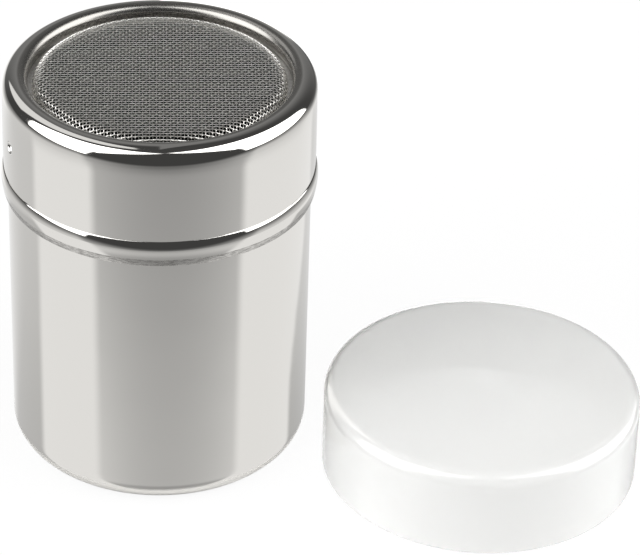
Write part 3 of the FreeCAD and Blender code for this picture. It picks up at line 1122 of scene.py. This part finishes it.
@dataclass
class Surroundings:
    """What lights the object and shows in its steel: two large light panels that lean over it,
    each made of a lower and an upper part, a grey panel far left, a bright strip behind on the
    right, the table, and the dim room.

    The viewer sees plain white in its place. Names that end in rise are the elevations in degrees
    between which a level changes, and names that end in turn are the azimuths.
    """

    panels: tuple[LightPanel, ...] = (
        LightPanel(((60.5, -3), (121, -3), (118, 28), (99, 50), (74, 63), (46, 60)), 3.4),
        LightPanel(((54.5, 22), (100, 30), (94, 54), (74, 64), (9, 64)), 3.4),
        LightPanel(((-51.5, -5), (-101, 1.5), (-107, 28), (-98, 48), (-60, 62), (-38, 56)), 3.4),
        LightPanel(((-44.5, 21), (-90, 30), (-88, 52), (-60, 64), (2, 61.5)), 3.4),
        LightPanel((
            (-119, 24), (-146, 14), (-149, 36), (-145, 60), (-135, 80), (-60, 80), (-92, 66), (-111, 48),
        ), 0.92),
    )
    room: float = 0.062
    room_turn: tuple[float, float] = (125.0, 178.0)
    room_behind: float = 0.24
    room_above: float = 0.065
    above_rise: tuple[float, float] = (54.0, 70.0)
    strip: float = 2.0
    strip_rise: tuple[float, float] = (-4.0, 14.0)
    strip_turn: tuple[float, float] = (165.0, 171.0)
    front_middle: float = 6.8
    front_narrowing: tuple[float, float] = (-0.35, -10.5)
    far_rise: tuple[float, float] = (-8.0, -3.0)
    far_front: float = 0.222
    far_front_gain: float = 0.2
    far_front_width: float = 50.0
    far_front_start: float = -33.0
    far_front_end: float = -18.0
    far_front_bend: float = 12.0
    far_side: tuple[float, float] = (0.76, 0.22)
    far_side_rise: tuple[float, float] = (-27.0, -6.0)
    far_side_turn: tuple[float, float] = (59.0, 67.0)
    far_left: tuple[float, float] = (1.15, 0.3)
    far_left_rise: tuple[float, float] = (-20.0, 9.0)
    far_left_turn: tuple[float, float] = (-158.0, -132.0)
    far_right: tuple[float, float] = (0.95, 0.1)
    far_right_rise: tuple[float, float] = (-33.0, -9.0)
    far_right_turn: tuple[float, float] = (118.0, 136.0)
    table_rise: tuple[float, float] = (-31.5, -28.0)
    table_front: float = 0.575
    table_front_far: float = 0.41
    table_front_rise: tuple[float, float] = (-37.5, -31.0)
    table_front_turn: tuple[float, float] = (53.5, 62.5)
    table_close: float = 0.40
    table_close_rise: tuple[float, float] = (-50.0, -39.0)
    table_bowl: float = 0.26
    table_bowl_width: float = 45.0
    table_side: float = 1.0
    table_side_rise: tuple[float, float] = (-37.0, -32.0)
    table_left: tuple[float, float] = (0.6, 0.73)
    table_left_edge: float = 105.0
    table_left_start: tuple[float, float] = (153.0, 122.0)
    table_left_start_rise: tuple[float, float] = (-37.0, -33.0)
    table_left_end: float = 170.0
    table_right: tuple[float, float] = (0.54, 0.77)
    table_right_edge: tuple[float, float] = (123.0, 147.0)
    table_right_edge_rise: tuple[float, float] = (-35.5, -32.0)
    table_right_turn: tuple[float, float] = (170.0, 185.0)
    table_behind: float = 0.9
    table_edge_soft: float = 4.0
    middle_soft: float = 1.0

    def ramp(
        self, tree: bpy.types.NodeTree, value: Any, low: Any, high: Any, start: Any, end: Any
    ) -> bpy.types.NodeSocket:
        """Goes smoothly from start to end while a value goes from low to high."""
        node = add_node(tree, "MapRange", {
            "Value": value, "From Min": low, "From Max": high, "To Min": start, "To Max": end,
        }, interpolation_type="SMOOTHSTEP")
        return node.outputs[0]

    def panel_share(
        self, tree: bpy.types.NodeTree, direction: bpy.types.NodeSocket, panel: LightPanel
    ) -> bpy.types.NodeSocket:
        """1 inside a panel and 0 outside: the least, over the sides, of the direction's distance
        from the side's plane, taken through the soft edge."""
        least: Any = 1.0
        for side in panel.sides():
            reach = add_node(tree, "VectorMath", {0: direction, 1: tuple(side)}, operation="DOT_PRODUCT")
            least = add_node(tree, "Math", {
                0: reach.outputs["Value"], 1: least,
            }, operation="MINIMUM").outputs[0]
        return self.ramp(tree, least, -panel.soft, panel.soft, 0.0, 1.0)

    def mirrored_level(self, tree: bpy.types.NodeTree) -> bpy.types.NodeSocket:
        """The brightness of the surroundings in each direction."""
        direction = add_node(tree, "TexCoord").outputs["Generated"]
        axes = add_node(tree, "SeparateXYZ", {0: direction})
        toward = add_node(tree, "Math", {0: axes.outputs[1], 1: -1.0}, operation="MULTIPLY").outputs[0]
        turn = add_node(tree, "Math", {0: axes.outputs[0], 1: toward}, operation="ARCTAN2").outputs[0]
        azimuth = add_node(tree, "Math", {0: turn}, operation="DEGREES").outputs[0]
        rise = add_node(tree, "Math", {0: axes.outputs[2]}, operation="ARCSINE").outputs[0]
        elevation = add_node(tree, "Math", {0: rise}, operation="DEGREES").outputs[0]
        aside = add_node(tree, "Math", {0: azimuth, 1: self.front_middle}, operation="SUBTRACT").outputs[0]
        aside = add_node(tree, "Math", {0: aside}, operation="ABSOLUTE").outputs[0]
        behind = add_node(tree, "Math", {0: azimuth}, operation="ABSOLUTE").outputs[0]
        narrowing = add_node(tree, "Math", {
            0: elevation, 1: self.front_narrowing[0], 2: self.front_narrowing[1],
        }, operation="MULTIPLY_ADD").outputs[0]
        inset = add_node(tree, "Math", {0: aside, 1: narrowing}, operation="ADD").outputs[0]

        room = self.ramp(tree, behind, *self.room_turn, self.room, self.room_behind)
        level = self.ramp(tree, elevation, *self.above_rise, room, self.room_above)
        far = self.far_level(tree, azimuth, elevation, aside)
        level = self.ramp(tree, elevation, *self.far_rise, far, level)
        for panel in self.panels:
            share = self.panel_share(tree, direction, panel)
            level = self.ramp(tree, share, 0.0, 1.0, level, panel.level)
        strip = self.ramp(tree, elevation, *self.strip_rise, self.strip, self.room_behind)
        level = self.ramp(tree, azimuth, *self.strip_turn, level, strip)
        table = self.table_level(tree, azimuth, behind, elevation, aside, inset)
        return self.ramp(tree, elevation, *self.table_rise, table, level)

    def far_level(
        self,
        tree: bpy.types.NodeTree,
        azimuth: bpy.types.NodeSocket,
        elevation: bpy.types.NodeSocket,
        aside: bpy.types.NodeSocket,
    ) -> bpy.types.NodeSocket:
        """The brightness of the far table, which fades upwards into the room.

        In front it is dim. Its level at the near edge is far_front + far_front_gain t and it
        has faded at the elevation far_front_end + far_front_bend t, where t is the square of
        the distance to the side of the front's middle over far_front_width.

        Args:
            tree: the world's node tree.
            azimuth: the direction's azimuth, 0 towards the viewer.
            elevation: the direction's elevation.
            aside: how far the direction lies to the side of the front's middle.

        Returns:
            The socket that gives the level.
        """
        spread = add_node(tree, "Math", {0: aside, 1: self.far_front_width}, operation="DIVIDE").outputs[0]
        spread = add_node(tree, "Math", {0: spread, 1: 2.0}, operation="POWER").outputs[0]
        near = add_node(tree, "Math", {
            0: spread, 1: self.far_front_gain, 2: self.far_front,
        }, operation="MULTIPLY_ADD").outputs[0]
        end = add_node(tree, "Math", {
            0: spread, 1: self.far_front_bend, 2: self.far_front_end,
        }, operation="MULTIPLY_ADD").outputs[0]
        front = self.ramp(tree, elevation, self.far_front_start, end, near, self.room)
        side = self.ramp(tree, elevation, *self.far_side_rise, *self.far_side)
        left = self.ramp(tree, elevation, *self.far_left_rise, *self.far_left)
        right = self.ramp(tree, elevation, *self.far_right_rise, *self.far_right)
        level = self.ramp(tree, aside, *self.far_side_turn, front, side)
        level = self.ramp(tree, azimuth, *self.far_left_turn, left, level)
        return self.ramp(tree, azimuth, *self.far_right_turn, level, right)

    def table_level(
        self,
        tree: bpy.types.NodeTree,
        azimuth: bpy.types.NodeSocket,
        behind: bpy.types.NodeSocket,
        elevation: bpy.types.NodeSocket,
        aside: bpy.types.NodeSocket,
        inset: bpy.types.NodeSocket,
    ) -> bpy.types.NodeSocket:
        """The brightness of the near table: dim in front, in a shallow bowl, bright at the sides
        where the panels light it, greyer again behind them, and dim close to the can.

        Args:
            tree: the world's node tree.
            azimuth: the direction's azimuth, 0 towards the viewer.
            behind: the azimuth without its sign.
            elevation: the direction's elevation.
            aside: how far the direction lies to the side of the front's middle.
            inset: the same, less the front's narrowing close to the can.

        Returns:
            The socket that gives the level.
        """
        front = self.ramp(
            tree, elevation, *self.table_front_rise, self.table_front, self.table_front_far,
        )
        front = self.ramp(tree, elevation, *self.table_close_rise, self.table_close, front)
        spread = add_node(tree, "Math", {0: aside, 1: self.table_bowl_width}, operation="DIVIDE").outputs[0]
        spread = add_node(tree, "Math", {0: spread, 1: 2.0}, operation="POWER").outputs[0]
        bowl = add_node(tree, "Math", {
            0: spread, 1: self.table_bowl, 2: 1.0,
        }, operation="MULTIPLY_ADD").outputs[0]
        front = add_node(tree, "Math", {0: front, 1: bowl}, operation="MULTIPLY").outputs[0]
        left = self.ramp(tree, elevation, *self.table_side_rise, *self.table_left)
        left_start = self.ramp(tree, elevation, *self.table_left_start_rise, *self.table_left_start)
        left = self.ramp(tree, behind, left_start, self.table_left_end, left, self.table_behind)
        right = self.ramp(tree, elevation, *self.table_side_rise, *self.table_right)
        right = self.ramp(tree, behind, *self.table_right_turn, right, self.table_behind)
        middle = (-self.middle_soft, self.middle_soft)
        back = self.ramp(tree, azimuth, *middle, left, right)
        right_edge = self.ramp(tree, elevation, *self.table_right_edge_rise, *self.table_right_edge)
        edge = self.ramp(tree, azimuth, *middle, self.table_left_edge, right_edge)
        past_edge = add_node(tree, "Math", {0: behind, 1: edge}, operation="SUBTRACT").outputs[0]
        table = self.ramp(tree, inset, *self.table_front_turn, front, self.table_side)
        return self.ramp(tree, past_edge, -self.table_edge_soft, self.table_edge_soft, table, back)

    def build(self) -> None:
        """Builds the world."""
        world = bpy.data.worlds.new("studio")
        world.use_nodes = True
        tree = world.node_tree
        tree.nodes.clear()
        path = add_node(tree, "LightPath")
        plain = add_node(tree, "Math", {
            0: path.outputs["Is Camera Ray"], 1: path.outputs["Is Transmission Ray"],
        }, operation="MAXIMUM").outputs[0]
        level = self.ramp(tree, plain, 0.0, 1.0, self.mirrored_level(tree), 1.0)
        light = add_node(tree, "Background", {"Color": (1.0, 1.0, 1.0, 1.0), "Strength": level})
        add_node(tree, "OutputWorld", {"Surface": light.outputs[0]})
        bpy.context.scene.world = world


@dataclass
class Floor:
    """The pale table: white to the viewer, with the object's soft shadow on it.

    Steel sees the surroundings' own table in its place, except close to the pieces, where it
    sees their shadow.
    """

    half_size: float = 3000.0
    colour: str = "#f4f4f4"
    shine_through: float = 0.92
    contact: float = 3.0

    def build(self, feet: Sequence[tuple[float, float, float]]) -> None:
        """Builds the floor.

        Args:
            feet: x, y and radius of the rings that the object stands on.
        """
        corners = [(-1, -1), (1, -1), (1, 1), (-1, 1)]
        size = self.half_size * MM
        mesh = bpy.data.meshes.new("table_top")
        mesh.from_pydata([(x * size, y * size, -0.02 * MM) for x, y in corners], [], [(0, 1, 2, 3)])
        floor = bpy.data.objects.new("table_top", mesh)
        bpy.context.scene.collection.objects.link(floor)
        material = new_material("matt_white_board")
        tree = material.node_tree
        path = add_node(tree, "LightPath")
        place = add_node(tree, "TexCoord").outputs["Object"]
        away: Any = 1.0
        for x, y, radius in feet:
            reach = add_node(tree, "VectorMath", {0: place, 1: (x * MM, y * MM, 0.0)}, operation="DISTANCE")
            outside = add_node(tree, "MapRange", {
                "Value": reach.outputs["Value"],
                "From Min": radius * MM, "From Max": (radius + self.contact) * MM,
            }, interpolation_type="SMOOTHSTEP").outputs[0]
            away = add_node(tree, "Math", {0: outside, 1: away}, operation="MINIMUM").outputs[0]
        matt = add_node(tree, "BsdfDiffuse", {"Color": linear_colour(self.colour)})
        white = add_node(tree, "Emission", {"Color": (1.0, 1.0, 1.0, 1.0), "Strength": 1.0})
        seen = add_node(tree, "Math", {
            0: path.outputs["Is Camera Ray"], 1: path.outputs["Is Transmission Ray"],
        }, operation="MAXIMUM")
        share = add_node(tree, "Math", {0: seen.outputs[0], 1: self.shine_through}, operation="MULTIPLY")
        board = add_node(tree, "MixShader", {0: share.outputs[0], 1: matt.outputs[0], 2: white.outputs[0]})
        clear = add_node(tree, "BsdfTransparent")
        hidden = add_node(tree, "Math", {
            0: path.outputs["Is Glossy Ray"], 1: away,
        }, operation="MULTIPLY")
        whole = add_node(tree, "MixShader", {
            0: hidden.outputs[0], 1: board.outputs[0], 2: clear.outputs[0],
        })
        end_material(tree, whole.outputs[0])
        mesh.materials.append(material)


@dataclass(frozen=True)
class Viewpoint:
    """The camera: place in millimetres, and yaw, pitch and roll in degrees."""

    place: tuple[float, float, float] = (0.0, -629.374, 454.052)
    yaw: float = 3.2991
    pitch: float = 33.3573
    roll: float = 1.875
    lens: float = 187.23
    film_width: float = 36.0

    def build(self) -> None:
        """Places the camera: it looks down by its pitch, turned right by its yaw and about its
        own axis by its roll."""
        camera = bpy.data.cameras.new("camera")
        camera.lens = self.lens
        camera.sensor_fit = "HORIZONTAL"
        camera.sensor_width = self.film_width
        camera.clip_start = 0.01
        camera.clip_end = 10.0
        viewer = bpy.data.objects.new("camera", camera)
        turned = (
            Matrix.Rotation(math.radians(-self.yaw), 4, "Z")
            @ Matrix.Rotation(math.radians(90.0 - self.pitch), 4, "X")
            @ Matrix.Rotation(math.radians(self.roll), 4, "Z")
        )
        viewer.matrix_world = Matrix.Translation(Vector(self.place) * MM) @ turned
        bpy.context.scene.collection.objects.link(viewer)
        bpy.context.scene.camera = viewer


def main() -> None:
    """Builds the studio and the pieces in order."""
    logging.basicConfig(level=logging.INFO, format="%(name)s: %(message)s")
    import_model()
    bpy.context.scene.view_settings.view_transform = "Standard"

    can = DrawnCan()
    # the can's inside: rough unbuffed steel whose dark grey is painted shade
    inside = PolishedSheet(
        name="drawn_stainless_unbuffed_painted_shade", colour=INSIDE_SHADE_GREY, roughness_low=0.3, roughness_high=0.45,
    )
    can.build(PolishedSheet().make(), inside.make())
    # the rim's inside is satin, and darker in colour as painted shade of the gap above the cloth
    skirt = PolishedSheet(name="mirror_polished_stainless_with_satin_rim_and_painted_shade", dull_and_shade_radius=31.3)
    # the hem's rolled edge is grey partly from scuffs and partly as painted shade of the gap under it
    PressedLid().build(skirt.make(), CurledEdge().make())
    warp = DrawnWire(name="bright_drawn_stainless_wire", roughness_low=0.18, roughness_high=0.28)
    WireSieve().build(warp.make(), DrawnWire().make())
    ClampRing().build(MillSheet().make())
    cap = MouldedCap()
    cap.build(NaturalPlastic().make())

    Viewpoint().build()
    Surroundings().build()
    Floor().build([(0.0, 0.0, can.radius)])


if __name__ == "__main__":
    main()
